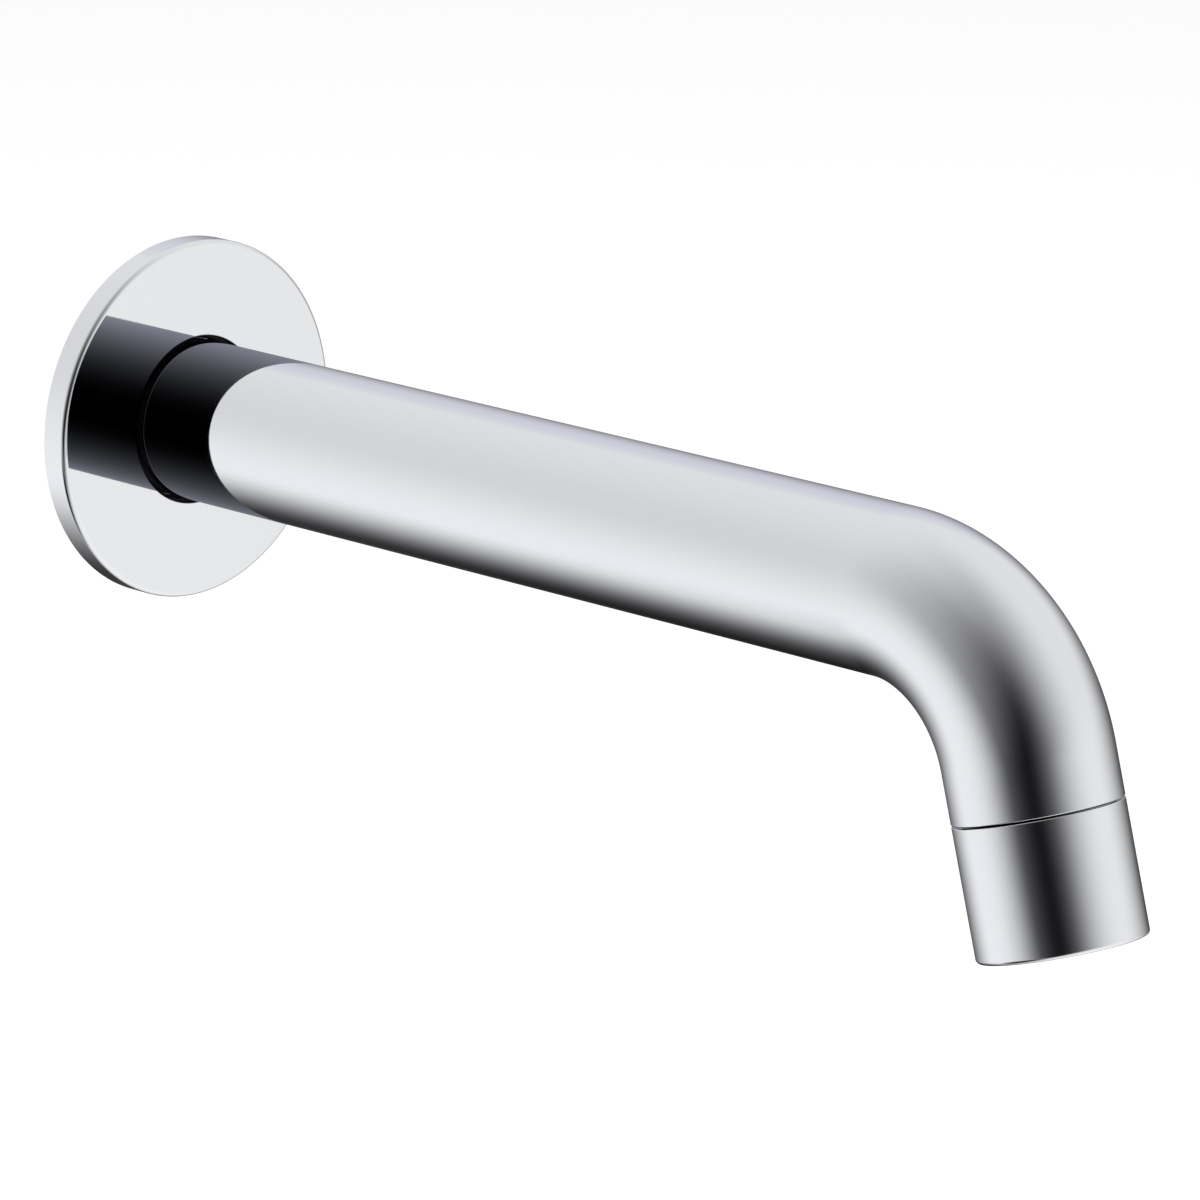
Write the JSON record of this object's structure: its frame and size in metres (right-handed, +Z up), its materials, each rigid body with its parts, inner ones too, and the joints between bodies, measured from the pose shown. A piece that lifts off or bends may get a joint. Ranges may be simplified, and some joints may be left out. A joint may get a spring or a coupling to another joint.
{
  "type": "wall spout",
  "caption": "Round bent wall spout with a turned cover plate, a threaded mounting spigot and a screwed outlet collar that holds an aerator.",
  "frame": {"origin": "where the tube's axis meets the wall, in the plane of the cover plate's back", "axes": "+Y into the wall, -Y out along the straight tube, +Z up, +X to the right of someone who faces the wall; the outlet points down and forward"},
  "size_m": [0.0724, 0.2631, 0.0989],
  "materials": {
    "chrome_plate": "polished and chrome-plated brass",
    "bare_brass": "turned, bare",
    "stainless_steel": "plain, as drawn",
    "rubber": "moulded EPDM",
    "insert_plastic": "moulded POM",
    "filter_plastic": "moulded POM"
  },
  "bodies": {
    "root": {"cover_plate": "chrome_plate", "cover_plate_o_ring": "rubber", "wall_seal": "rubber", "spout_tube": "chrome_plate", "rear_socket": "bare_brass", "mounting_spigot": "bare_brass", "spigot_o_ring_rear": "rubber", "spigot_o_ring_front": "rubber", "grub_screw": "stainless_steel", "outlet_socket": "chrome_plate", "collar_o_ring": "rubber", "aerator_collar": "chrome_plate", "aerator_washer": "rubber", "aerator_filter": "filter_plastic", "aerator_jet_disc": "insert_plastic", "aerator_body": "insert_plastic", "aerator_screen_upper": "stainless_steel", "screen_spacer": "insert_plastic", "aerator_screen_lower": "stainless_steel", "aerator_outlet_grid": "insert_plastic"}
  },
  "joints": []
}
